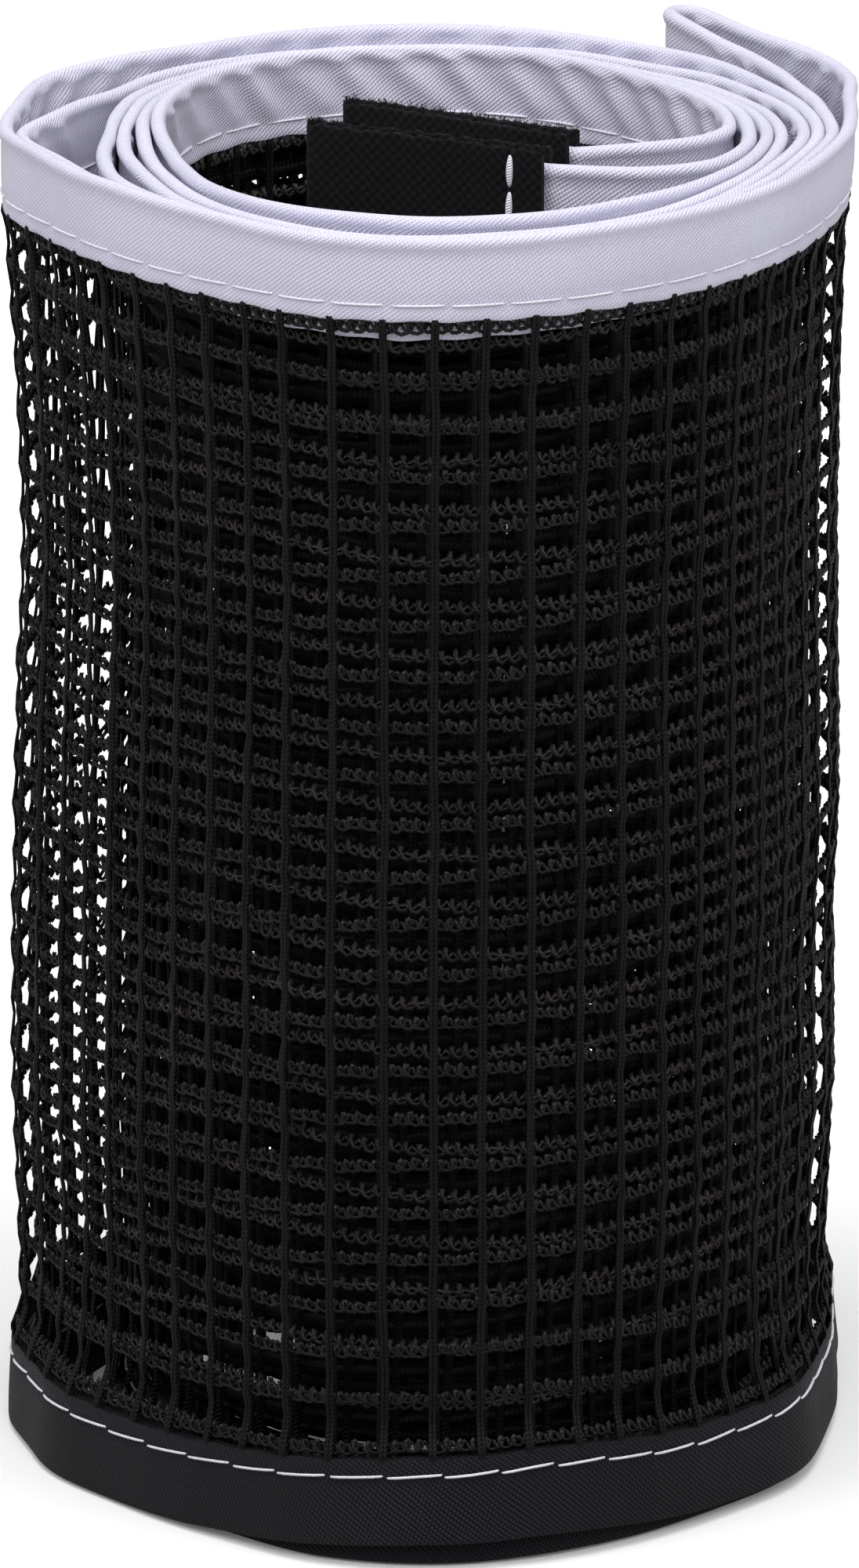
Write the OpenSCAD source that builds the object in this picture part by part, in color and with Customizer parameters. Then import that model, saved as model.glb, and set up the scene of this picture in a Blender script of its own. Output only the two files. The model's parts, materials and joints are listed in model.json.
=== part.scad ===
// Table tennis net, folded in half and rolled up, standing on its lower edge at z = 0.
// The net is one long strip: it starts at the front (-Y) sleeve, winds outwards as
// the outer layer of each doubled turn, folds back at the bight, and winds
// inwards again as the inner layer to the rear sleeve.

/* [Net] */
// Height of the net from the lower edge to the top of the white tape
net_h = 152.5; // [150:0.5:155]
// Thickness of the knitted netting
netting_t = 0.5; // [0.3:0.1:0.5]

/* [Tapes] */
// Height of the white top tape
top_tape_h = 9.8; // [8:0.2:12]
// Height of the dark bottom tape
bottom_tape_h = 9; // [8:0.2:12]
// Thickness of a folded tape with the netting between its walls
tape_t = 1.1; // [1:0.05:1.2]
// Thickness of one wall of a tape
tape_wall = 0.2; // [0.15:0.05:0.2]
// Thickness of the fold that closes a tape
tape_fold = 0.5; // [0.3:0.1:0.8]

/* [Cord] */
// Height of the tension cord in the hem of the top tape
cord_h = 1.1; // [0.8:0.1:1.2]
// Thickness of the tension cord
cord_t = 0.6; // [0.4:0.05:0.6]

/* [Stitching] */
// Height of a line of sewing thread
thread_h = 0.5; // [0.3:0.1:0.6]
// Thickness of the thread on the face of a tape
thread_t = 0.1; // [0.05:0.01:0.12]
// Distance of the top stitching above the tape's lower edge
top_stitch_in = 1.9; // [1.5:0.1:3]
// Distance of the bottom stitching below the tape's upper edge
bottom_stitch_in = 1.65; // [1.5:0.1:3]

/* [Sleeves] */
// Width of a flattened end sleeve
sleeve_w = 29.7; // [28:0.1:31]
// Thickness of a flattened end sleeve
sleeve_t = 3.2; // [2.6:0.1:3.4]
// Thickness of one ply of the sleeve tape
sleeve_ply = 0.9; // [0.6:0.1:1]
// Height of the lower edge of a sleeve
sleeve_z = 1.5; // [1:0.1:3]
// Top of a sleeve above the white tape
sleeve_proud = 1.5; // [0.5:0.1:2]
// Width of the sewn part of a sleeve, next to the net
sleeve_sewn_w = 8; // [6:0.5:10]

/* [Fold lines] */
// Clearance on the inner layer at a fold line
fold_gap_in = 0.3; // [0.2:0.1:0.5]
// Clearance on the outer layer at a fold line
fold_gap_out = 1.2; // [1:0.1:1.5]

/* [Hidden] */

// Heights inside the tapes
top_tape_z = net_h - top_tape_h;
cord_top = net_h - tape_fold - 0.1;
cord_z = cord_top - cord_h;
netting_top = cord_z - 0.3;
netting_z = tape_fold + 1;
cut_over = 1;      // how far a tape's channel is cut past its open edge
cut_over_end = 0.4; // and past each end

// ---- Winding ----
// Outer layer of the doubled turns from the front sleeve: [angle in degrees, radius].
OUTER = [
  [-50,21],[-42,25.5],[-36,29.5],[-28,32.9],[-20,34.9],[-8,35.9],[4,35.9],[16,36.1],
  [30,36],[45,36.7],[60,38],[75,39.9],[90,40.4],[105,40.5],[120,39.6],[135,37.6],
  [150,35.2],[165,33.1],[180,31.9],[195,32.2],[210,33.4],[225,35.8],[240,38],[255,40],
  [270,41],[285,40.6],[300,39.8],[315,39.4],[330,39.1],[345,39.1],[360,39.5],[375,39.4],
  [390,39.3],[405,40.1],[420,41.5],[435,43.2],[450,43.7],[465,43.8],[480,42.8],[495,40.7],
  [510,38.5],[525,36.3],[540,35.7],[555,37.4],[570,39.1],[585,39.3],[600,41],[615,43.5],
  [630,44.6],[645,44.1],[660,43.1],[675,42.4],[690,42.1],[705,42.3],[720,43.6],[735,44],
  [750,44.4],[765,45.6],[780,46.4],[795,47.8],[810,48.4],[825,48.5],[840,47.3],[855,48.7],
  [870,49.7],[885,48],[900,47.2],[915,43.9],[930,42.6],[945,42.6],[960,44.1],[975,47.2],
  [990,48.2],[1005,47.5],[1020,46.1],[1035,45.3],[1050,45],[1065,45.2],[1080,46.8],[1091,48.4],
  [1100,50.7]];
// Inner layer of the doubled turns from the rear sleeve: [angle in degrees, radius].
INNER = [
  [-28,18.5],[-22,21.5],[-16,25],[-10,28.6],[-4,31.6],[4,33.7],[16,34.4],[30,34.4],
  [45,35],[60,36.4],[75,38.2],[90,38.7],[105,38.8],[120,38],[135,36],[150,33.5],
  [165,31.4],[180,30],[195,29.8],[210,31.4],[225,34.2],[240,36.5],[255,38.2],[270,39.2],
  [285,38.9],[300,38.3],[315,37.9],[330,37.6],[345,37.6],[360,37.9],[375,37.8],[390,37.6],
  [405,38.4],[420,39.8],[435,41.5],[450,42],[465,42.1],[480,41.2],[495,39.1],[510,36.9],
  [525,34.7],[540,34.1],[555,34.6],[570,35.6],[585,37.6],[600,39.5],[615,41.7],[630,42.8],
  [645,42.4],[660,41.5],[675,40.9],[690,40.6],[705,40.7],[720,42],[735,42.4],[750,42.9],
  [765,44],[780,44.8],[795,46.2],[810,46.8],[825,46.8],[840,45.5],[855,43.9],[870,42],
  [885,42.9],[900,45.5],[915,42.3],[930,41],[945,41],[960,42.5],[975,45.5],[990,46.5],
  [1005,45.9],[1020,44.6],[1035,43.8],[1050,43.5],[1065,43.7],[1080,45.2],[1095,45.7]];
// Flared fold at the middle of the net, outer layer first: [x, y].
BIGHT = [
  [47.8,25.4],[44.8,34.6],[38.8,43.6],[34.4,50],[32.5,52.8],[30.7,54.4],[28.7,54.1],
  [27.9,52.2],[28.5,50],[30,47.3],[32.6,43],[36.4,36],[39.9,27.2],[42.3,18.9]];
// Hinge lines of the peeling flap, as angles on the outermost turn.
HINGES = [for (i = [0:5]) 960 + 22.5 * i];

function xy(polar) = polar[1] * [cos(polar[0]), sin(polar[0])];
KEYS = concat(
  [for (entry = OUTER) xy(entry)],
  BIGHT,
  [for (i = [len(INNER) - 1:-1:0]) xy(INNER[i])]);
LAST = len(KEYS) - 1;

// ---- Centre line ----
// A station is a place along the strip; whole numbers are the points of KEYS.
samples_per_station = 3;
tangent_step = 0.02;
length_step = 0.05;

function key(i) = KEYS[min(max(i, 0), LAST)];
// Catmull-Rom curve from start (t = 0) to end (t = 1).
function spline(before, start, end, after, t) = 0.5 * (2 * start + (end - before) * t
  + (2 * before - 5 * start + 4 * end - after) * t * t
  + (3 * start - before - 3 * end + after) * t * t * t);
function point(station) = let (i = min(floor(station), LAST - 1))
  spline(key(i - 1), key(i), key(i + 1), key(i + 2), station - i);
// Unit vectors along the strip, and to its right: away from the roll on the outer layer.
function ahead(station) =
  let (step = point(min(station + tangent_step, LAST)) - point(max(station - tangent_step, 0)))
  step / norm(step);
function right(station) = let (along = ahead(station)) [along[1], -along[0]];

// Table position of a turn angle, and its station on each layer.
function find(table, angle, i = 0) = table[i + 1][0] >= angle
  ? i + (angle - table[i][0]) / (table[i + 1][0] - table[i][0])
  : find(table, angle, i + 1);
function outer_station(angle) = find(OUTER, angle);
function inner_station(angle) = LAST - find(INNER, angle);
// The station a distance in mm further along the strip.
function shifted(station, distance) = station
  + distance * 2 * length_step / norm(point(station + length_step) - point(station - length_step));

// ---- Strip between two stations ----
// One side of the strip as [station, point], each end moved outwards by over.
function edge(from, to, offset, over) = let (count = ceil((to - from) * samples_per_station)) [
  for (i = [0:count])
    let (station = from + (to - from) * i / count, move = i == 0 ? -over : i == count ? over : 0)
    point(station) + move * ahead(station) + offset * right(station)];
function reversed(list) = [for (i = [len(list) - 1:-1:0]) list[i]];
// Plan outline between two offsets to the right of the centre line.
function outline(from, to, side_a, side_b, over = 0) =
  concat(edge(from, to, side_a, over), reversed(edge(from, to, side_b, over)));

module ribbon(span, side_a, side_b, bottom, top, over = 0)
  translate([0, 0, bottom])
    linear_extrude(top - bottom)
      polygon(outline(span[0], span[1], side_a, side_b, over));

// Tape with a channel for the netting, cut right through its ends.
tape_side = tape_t / 2;
channel_side = tape_side - tape_wall;
module hem(span, bottom, top, channel_bottom, channel_top) difference() {
  ribbon(span, -tape_side, tape_side, bottom, top);
  ribbon(span, channel_side, -channel_side, channel_bottom, channel_top, over = cut_over_end);
}

// The origin is the middle of the whole stitched strip in plan.
thread_side = tape_side + thread_t;
PLAN = outline(0, LAST, thread_side, -thread_side);
function middle(values) = (min(values) + max(values)) / 2;
MIDDLE = [middle([for (corner = PLAN) corner[0]]), middle([for (corner = PLAN) corner[1]])];
module centred() translate([-MIDDLE[0], -MIDDLE[1], 0]) children();

// ---- Links ----
// Link 0 is the core and 1 to 5 are flap links, each with an outer and an inner span.
// In the last link, 6, the two layers are one span round the bight.
last_link = len(HINGES);
function outer_start(link) = link == 0 ? 0
  : shifted(outer_station(HINGES[link - 1]), fold_gap_out / 2);
function outer_end(link) = shifted(outer_station(HINGES[link]), -fold_gap_out / 2);
function inner_start(link) = shifted(inner_station(HINGES[link]), fold_gap_in / 2);
function inner_end(link) = link == 0 ? LAST
  : shifted(inner_station(HINGES[link - 1]), -fold_gap_in / 2);
function spans(link) = link == last_link
  ? [[outer_start(link), inner_end(link)]]
  : [[outer_start(link), outer_end(link)], [inner_start(link), inner_end(link)]];

module layers(link, side_a, side_b, bottom, top)
  centred() for (span = spans(link)) ribbon(span, side_a, side_b, bottom, top);
module hems(link, bottom, top, channel_bottom, channel_top)
  centred() for (span = spans(link)) hem(span, bottom, top, channel_bottom, channel_top);

// Knitted netting: a plain sheet, held inside both tapes.
module netting(link) color([0.09, 0.09, 0.1])
  layers(link, -netting_t / 2, netting_t / 2, netting_z, netting_top);

// White tape folded over the netting's upper edge and the cord.
module top_tape(link) color([0.8, 0.8, 0.86])
  hems(link, top_tape_z, net_h, top_tape_z - cut_over, net_h - tape_fold);

// Dark tape folded over the netting's lower edge.
module bottom_tape(link) color([0.13, 0.12, 0.14])
  hems(link, 0, bottom_tape_h, tape_fold, bottom_tape_h + cut_over);

// Tension cord that runs inside the fold of the white tape.
module cord(link) color([0.92, 0.92, 0.9])
  layers(link, -cord_t / 2, cord_t / 2, cord_z, cord_top);

// Line of thread on both faces of a tape.
module stitching(link, middle_z) color("white") {
  bottom = middle_z - thread_h / 2;
  top = middle_z + thread_h / 2;
  layers(link, tape_side, thread_side, bottom, top);
  layers(link, -thread_side, -tape_side, bottom, top);
}
module top_stitching(link) stitching(link, top_tape_z + top_stitch_in);
module bottom_stitching(link) stitching(link, bottom_tape_h - bottom_stitch_in);

// ---- Sleeves ----
// A sleeve is a flat loop of webbing: a sewn part beside the net, then a pocket
// for the post. It is drawn from the end of the strip with its free end along +X.
sleeve_colour = [0.11, 0.11, 0.12];
sleeve_start = 0.8; // gap between the end of the strip's centre line and the sleeve
front_turn = 155;   // direction of the free end, in degrees from +X
rear_turn = 149.5;
dash_x = 4.2;
dash_w = 0.6;
dash_h = 3.4;
dash_pitch = 5.1;
dash_count = 29;
first_dash = 3.4;   // middle of the lowest dash above the sleeve's lower edge

module at_front() centred() translate(point(0)) rotate([0, 0, front_turn]) children();
module at_rear() centred() translate(point(LAST)) rotate([0, 0, rear_turn]) children();

module sleeve() {
  round_x = sleeve_w - sleeve_t / 2;
  difference() {
    translate([0, 0, sleeve_z]) linear_extrude(net_h + sleeve_proud - sleeve_z) {
      translate([sleeve_start, -sleeve_t / 2]) square([round_x - sleeve_start, sleeve_t]);
      translate([round_x, 0]) circle(sleeve_t / 2, $fn = 48);
    }
    // Pocket, open at the top and bottom
    translate([sleeve_sewn_w, sleeve_ply - sleeve_t / 2, -1])
      cube([round_x - sleeve_sewn_w, sleeve_t - 2 * sleeve_ply, net_h + 10]);
  }
}

// Upright row of dashes on both faces of the sewn part.
module sleeve_thread()
  for (face = [-1, 1], i = [0:dash_count - 1])
    translate([dash_x, face * (sleeve_t + thread_t) / 2, sleeve_z + first_dash + i * dash_pitch])
      cube([dash_w, thread_t, dash_h], center = true);

module front_sleeve() color(sleeve_colour) at_front() sleeve();
module rear_sleeve() color(sleeve_colour) at_rear() sleeve();
module front_sleeve_stitching() color("white") at_front() sleeve_thread();
module rear_sleeve_stitching() color("white") at_rear() sleeve_thread();

netting(0);  // netting_core
netting(1);  // netting_flap_1
netting(2);  // netting_flap_2
netting(3);  // netting_flap_3
netting(4);  // netting_flap_4
netting(5);  // netting_flap_5
netting(6);  // netting_flap_6
top_tape(0);  // top_tape_core
top_tape(1);  // top_tape_flap_1
top_tape(2);  // top_tape_flap_2
top_tape(3);  // top_tape_flap_3
top_tape(4);  // top_tape_flap_4
top_tape(5);  // top_tape_flap_5
top_tape(6);  // top_tape_flap_6
bottom_tape(0);  // bottom_tape_core
bottom_tape(1);  // bottom_tape_flap_1
bottom_tape(2);  // bottom_tape_flap_2
bottom_tape(3);  // bottom_tape_flap_3
bottom_tape(4);  // bottom_tape_flap_4
bottom_tape(5);  // bottom_tape_flap_5
bottom_tape(6);  // bottom_tape_flap_6
cord(0);  // cord_core
cord(1);  // cord_flap_1
cord(2);  // cord_flap_2
cord(3);  // cord_flap_3
cord(4);  // cord_flap_4
cord(5);  // cord_flap_5
cord(6);  // cord_flap_6
top_stitching(0);  // top_stitching_core
top_stitching(1);  // top_stitching_flap_1
top_stitching(2);  // top_stitching_flap_2
top_stitching(3);  // top_stitching_flap_3
top_stitching(4);  // top_stitching_flap_4
top_stitching(5);  // top_stitching_flap_5
top_stitching(6);  // top_stitching_flap_6
bottom_stitching(0);  // bottom_stitching_core
bottom_stitching(1);  // bottom_stitching_flap_1
bottom_stitching(2);  // bottom_stitching_flap_2
bottom_stitching(3);  // bottom_stitching_flap_3
bottom_stitching(4);  // bottom_stitching_flap_4
bottom_stitching(5);  // bottom_stitching_flap_5
bottom_stitching(6);  // bottom_stitching_flap_6
front_sleeve();
front_sleeve_stitching();
rear_sleeve();
rear_sleeve_stitching();
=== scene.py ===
"""A long strip of black netting, folded double and wound into an upright roll.

The roll stands on z = 0 round the Z axis; its front faces -Y and +X is on the right.
Followed along its length, the strip starts at the front sleeve inside the roll, winds
outwards as the outer layer, turns round in the bight at the right of the back, and winds
inwards again as the inner layer to the rear sleeve. A white tape with a cord in it hems
the upper edge, a dark tape the lower edge. Lengths are in millimetres until points are
made; "along" is always a length along the strip, and a "turn" is its winding angle in
degrees, counted on from one turn to the next.
"""
import json
import math
from functools import partial

import bpy
import numpy as np
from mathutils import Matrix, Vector

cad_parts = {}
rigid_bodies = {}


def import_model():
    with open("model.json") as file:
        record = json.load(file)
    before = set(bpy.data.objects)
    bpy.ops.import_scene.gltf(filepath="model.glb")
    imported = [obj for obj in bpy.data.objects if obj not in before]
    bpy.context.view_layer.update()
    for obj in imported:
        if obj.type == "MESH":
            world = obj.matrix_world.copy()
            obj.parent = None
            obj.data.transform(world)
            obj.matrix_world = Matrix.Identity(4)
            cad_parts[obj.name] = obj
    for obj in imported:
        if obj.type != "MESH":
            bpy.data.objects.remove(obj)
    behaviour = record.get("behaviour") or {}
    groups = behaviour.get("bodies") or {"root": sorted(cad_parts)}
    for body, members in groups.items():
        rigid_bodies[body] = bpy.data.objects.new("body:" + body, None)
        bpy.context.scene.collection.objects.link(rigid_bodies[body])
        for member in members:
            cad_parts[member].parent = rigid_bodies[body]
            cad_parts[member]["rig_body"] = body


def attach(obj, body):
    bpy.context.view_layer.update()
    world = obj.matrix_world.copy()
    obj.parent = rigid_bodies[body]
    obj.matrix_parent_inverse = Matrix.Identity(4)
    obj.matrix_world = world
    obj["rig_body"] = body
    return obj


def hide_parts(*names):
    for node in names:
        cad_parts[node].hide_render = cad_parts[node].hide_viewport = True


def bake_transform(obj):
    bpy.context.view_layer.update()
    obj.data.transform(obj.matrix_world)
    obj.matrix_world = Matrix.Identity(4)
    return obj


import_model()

for item in list(bpy.context.scene.objects):
    if item.type in ("MESH", "LIGHT", "CAMERA") and "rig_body" not in item:
        bpy.data.objects.remove(item)
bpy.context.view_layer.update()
MM = 0.001
HEIGHT = 152.5

# ---------------------------------------------------------------- line of the strip
# [turn, radius] of the outer and the inner layer, and [x, y] of the bight between them
OUTER = [
  [-50,21],[-42,25.5],[-36,29.5],[-28,32.9],[-20,34.9],[-8,35.9],[4,35.9],[16,36.1],
  [30,36],[45,36.7],[60,38],[75,39.9],[90,40.4],[105,40.5],[120,39.6],[135,37.6],
  [150,35.2],[165,33.1],[180,31.9],[195,32.2],[210,33.4],[225,35.8],[240,38],[255,40],
  [270,41],[285,40.6],[300,39.8],[315,39.4],[330,39.1],[345,39.1],[360,39.5],[375,39.4],
  [390,39.3],[405,40.1],[420,41.5],[435,43.2],[450,43.7],[465,43.8],[480,42.8],[495,40.7],
  [510,38.5],[525,36.3],[540,35.7],[555,37.4],[570,39.1],[585,39.3],[600,41],[615,43.5],
  [630,44.6],[645,44.1],[660,43.1],[675,42.4],[690,42.1],[705,42.3],[720,43.6],[735,44],
  [750,44.4],[765,45.6],[780,46.4],[795,47.8],[810,48.4],[825,48.5],[840,47.3],[855,48.7],
  [870,49.7],[885,48],[900,47.2],[915,43.9],[930,42.6],[945,42.6],[960,44.1],[975,47.2],
  [990,48.2],[1005,47.5],[1020,46.1],[1035,45.3],[1050,45],[1065,45.2],[1080,46.8],[1091,48.4],
  [1100,50.7]]
INNER = [
  [-28,18.5],[-22,21.5],[-16,25],[-10,28.6],[-4,31.6],[4,33.7],[16,34.4],[30,34.4],
  [45,35],[60,36.4],[75,38.2],[90,38.7],[105,38.8],[120,38],[135,36],[150,33.5],
  [165,31.4],[180,30],[195,29.8],[210,31.4],[225,34.2],[240,36.5],[255,38.2],[270,39.2],
  [285,38.9],[300,38.3],[315,37.9],[330,37.6],[345,37.6],[360,37.9],[375,37.8],[390,37.6],
  [405,38.4],[420,39.8],[435,41.5],[450,42],[465,42.1],[480,41.2],[495,39.1],[510,36.9],
  [525,34.7],[540,34.1],[555,34.6],[570,35.6],[585,37.6],[600,39.5],[615,41.7],[630,42.8],
  [645,42.4],[660,41.5],[675,40.9],[690,40.6],[705,40.7],[720,42],[735,42.4],[750,42.9],
  [765,44],[780,44.8],[795,46.2],[810,46.8],[825,46.8],[840,45.5],[855,43.9],[870,42],
  [885,42.9],[900,45.5],[915,42.3],[930,41],[945,41],[960,42.5],[975,45.5],[990,46.5],
  [1005,45.9],[1020,44.6],[1035,43.8],[1050,43.5],[1065,43.7],[1080,45.2],[1095,45.7]]
BIGHT = [[47.8,25.4],[44.8,34.6],[38.8,43.6],[34.4,50],[32.5,52.8],[30.7,54.4],[28.7,54.1],
  [27.9,52.2],[28.5,50],[30,47.3],[32.6,43],[36.4,36],[39.9,27.2],[42.3,18.9]]
BIGHT_TURN = 1110
LINE_HALF = 0.65  # half thickness by which the outline of the roll is centred
POINTS_PER_KEY = 24


def polar(keys):
    return [[radius * math.cos(math.radians(turn)), radius * math.sin(math.radians(turn))]
            for turn, radius in keys]


KEYS = np.array(polar(OUTER) + BIGHT + polar(INNER)[::-1])
LAST = len(KEYS) - 1
OUTER_TURNS = [turn for turn, _ in OUTER]
INNER_TURNS = [turn for turn, _ in INNER]
KEY_TURNS = np.array(OUTER_TURNS + [BIGHT_TURN] * len(BIGHT) + INNER_TURNS[::-1], float)


def spline(place_in_keys):
    """Catmull-Rom curve through KEYS, at fractional key numbers."""
    first = np.minimum(np.floor(place_in_keys).astype(int), LAST - 1)
    t = (place_in_keys - first)[:, None]
    before, start, end, after = (KEYS[np.clip(first + k, 0, LAST)] for k in (-1, 0, 1, 2))
    return 0.5 * (2 * start + (end - before) * t
                  + (2 * before - 5 * start + 4 * end - after) * t * t
                  + (3 * start - before - 3 * end + after) * t**3)


LINE_KEY = np.linspace(0, LAST, LAST * POINTS_PER_KEY + 1)
LINE = spline(LINE_KEY)
LINE_TANGENT = np.gradient(LINE, LINE_KEY, axis=0)
LINE_TANGENT /= np.linalg.norm(LINE_TANGENT, axis=1)[:, None]


def right_of(tangent):
    return np.stack([tangent[:, 1], -tangent[:, 0]], 1)


LINE_NORMAL = right_of(LINE_TANGENT)
outline = np.concatenate([LINE + LINE_HALF * LINE_NORMAL, LINE - LINE_HALF * LINE_NORMAL])
CENTER = (outline.min(0) + outline.max(0)) / 2
LINE = LINE - CENTER
LINE_ALONG = np.concatenate([[0], np.cumsum(np.linalg.norm(np.diff(LINE, axis=0), axis=1))])
LENGTH = LINE_ALONG[-1]
BIGHT_ALONG = float(np.interp(len(OUTER) + len(BIGHT) / 2, LINE_KEY, LINE_ALONG))


def line_bend(reach=20):
    """Curvature, positive where the line turns left, averaged over 2 * reach + 1 points."""
    heading = np.unwrap(np.arctan2(LINE_TANGENT[:, 1], LINE_TANGENT[:, 0]))
    bend = np.pad(np.gradient(heading, LINE_ALONG), reach, mode="edge")
    width = 2 * reach + 1
    return np.convolve(bend, np.ones(width) / width, "valid")


def heading(degrees):
    return np.array([math.cos(math.radians(degrees)), math.sin(math.radians(degrees))])


# the strip runs on straight into both sleeves
TUCK = 6.0
TUCK_POINTS = 20
FRONT_HEADING, REAR_HEADING = heading(155), heading(149.5)
FRONT_ROOT, REAR_ROOT = LINE[0].copy(), LINE[-1].copy()
tuck_in = np.linspace(TUCK, 0.3, TUCK_POINTS)
flat = np.zeros(TUCK_POINTS)

STRIP = np.concatenate([-tuck_in, LINE_ALONG, LENGTH + tuck_in[::-1]])
STRIP_POINT = np.concatenate([
    FRONT_ROOT + FRONT_HEADING * tuck_in[:, None], LINE,
    REAR_ROOT + REAR_HEADING * tuck_in[::-1, None]])
STRIP_TANGENT = np.concatenate([
    np.tile(-FRONT_HEADING, (TUCK_POINTS, 1)), LINE_TANGENT,
    np.tile(REAR_HEADING, (TUCK_POINTS, 1))])
STRIP_NORMAL = right_of(STRIP_TANGENT)
STRIP_BEND = np.concatenate([flat, line_bend(), flat])
STRIP_TURN = np.concatenate([
    flat + OUTER_TURNS[0], np.interp(LINE_KEY, np.arange(LAST + 1), KEY_TURNS),
    flat + INNER_TURNS[0]])


def clearances(step=6, widest=9.0, same_layer=14):
    """Distance to the next layer: on any side, and on the right (1) and left (-1)."""
    spots, spots_along = LINE[::step], LINE_ALONG[::step]
    nearest = np.full(len(spots), widest)
    beside = {side: np.full(len(spots), widest) for side in (1, -1)}
    for i, spot in enumerate(spots):
        gap = spots - spot
        distance = np.linalg.norm(gap, axis=1)
        other = np.abs(spots_along - spots_along[i]) > same_layer
        nearest[i] = min(widest, distance[other].min())
        across = gap @ LINE_NORMAL[i * step]
        for side in (1, -1):
            hit = other & (side * across > 0.6 * distance)
            if hit.any():
                beside[side][i] = min(widest, distance[hit].min())
    spread = partial(np.interp, STRIP, spots_along)
    return spread(nearest), {side: spread(room) for side, room in beside.items()}


STRIP_GAP, STRIP_ROOM = clearances()


def strip_xy(along, values):
    """A two-column array of the strip, read at a length along it."""
    return np.array([np.interp(along, STRIP, values[:, axis]) for axis in (0, 1)])


def strip_at(along):
    """x, y of the strip's middle and x, y of the unit normal to its right."""
    x, y = strip_xy(along, STRIP_POINT)
    nx, ny = strip_xy(along, STRIP_NORMAL)
    size = np.hypot(nx, ny)
    return x, y, nx / size, ny / size


def normals_at(along):
    _, _, nx, ny = strip_at(along)
    return np.stack([nx, ny, 0 * nx], -1)


def turn_at(along):
    return np.interp(along, STRIP, STRIP_TURN)


def outer_along(turn):
    key = np.interp(turn, OUTER_TURNS, np.arange(len(OUTER)))
    return float(np.interp(key, LINE_KEY, LINE_ALONG))


def inner_along(turn):
    key = LAST - np.interp(turn, INNER_TURNS, np.arange(len(INNER)))
    return float(np.interp(key, LINE_KEY, LINE_ALONG))


# ---------------------------------------------------------------- shape of the roll
# (turn, rise) of the outer layer's lower edge, raised most at the front
OUTER_LIFT = [(938, 0.0), (952, 0.25), (965, 1.1), (977, 2.1), (990, 2.8), (1005, 2.8),
              (1018, 2.1), (1032, 1.4), (1048, 1.1), (1110, 1.0)]
# (turn, share) by which the upper edge hangs lower inside the roll
OUTER_SINK = [(-50, 0.0), (20, 0.2), (60, 0.9), (700, 1.0), (770, 0.0)]
INNER_SINK = [(-28, 0.0), (330, 0.0), (400, 1.0), (740, 1.1), (1040, 1.3), (1090, 0.0)]
# (height, share) by which the roll is drawn in on the left and on the right
LEFT_WAIST = [(0, 0), (5, 0.004), (9, 0.009), (13, 0.030), (22, 0.024), (40, 0.011),
              (59, 0.013), (87, 0.0275), (105, 0.0435), (124, 0.030), (141, 0.006), (145, 0)]
RIGHT_WAIST = [(0, 0), (5, 0.014), (9, 0.019), (13, 0.037), (22, 0.034), (40, 0.020),
               (59, 0.028), (72, 0.0165), (87, 0.0235), (105, 0.030), (124, 0.0265),
               (141, 0.017), (147, 0)]
# (turn, amount, width in degrees) where the foot of the roll stands out
FLARES = [(921, 2.3, 13), (944, 0.9, 16), (1056, 1.9, 14)]
TALL = 1.25  # rise just above the dark tape, which fades out upwards
SLIM = 0.9913  # the cloth is a little narrower than the line
HALF_WIDTH = 46.0  # x at which the left or right waist holds fully
FOLD_RIM = 0.9  # rise of the bight's upper edge


def lookup(x, pairs):
    return np.interp(x, *zip(*pairs))


def smooth(x):
    x = np.clip(x, 0, 1)
    return x * x * (3 - 2 * x)


def noise(x, seed, period):
    """Smooth repeatable waviness, about -1 to 1."""
    draws = np.random.RandomState(seed).rand(10)
    total = 0
    for k in range(4):
        wave = np.sin(2 * np.pi * x / (period / (1 + 0.77 * k)) + 6.283 * draws[k])
        total = total + wave * (0.5 + draws[4 + k]) / (1 + 0.6 * k)
    return total / 2.2


def lift(along):
    """How much higher the lower edge hangs."""
    turn = turn_at(along)
    wave = 0.35 * noise(along, 5, 70) + 0.15
    rise = np.where(along < BIGHT_ALONG, lookup(turn, OUTER_LIFT), smooth((turn - 1090) / 20))
    return rise + np.clip(wave, 0, 1) * 0.6


def sink(along):
    """How much lower the upper edge hangs inside the roll, most at front and back."""
    turn = turn_at(along)
    share = np.where(along < BIGHT_ALONG, lookup(turn, OUTER_SINK), lookup(turn, INNER_SINK))
    around = 0.35 + 1.5 * np.abs(np.sin(np.radians(turn))) ** 1.5
    return share * around * (1 + 0.15 * noise(along, 91, 60))


def waist(x, z):
    """Scale that draws the roll in at height z."""
    right = np.clip(0.5 + 0.5 * x / HALF_WIDTH, 0, 1)
    return 1 - (lookup(z, LEFT_WAIST) * (1 - right) + lookup(z, RIGHT_WAIST) * right)


def lean(z):
    """Shift in x: the foot of the roll stands a little to the left."""
    return -0.12 - 0.5 * np.clip(1 - z / HEIGHT, 0, 1)


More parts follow.
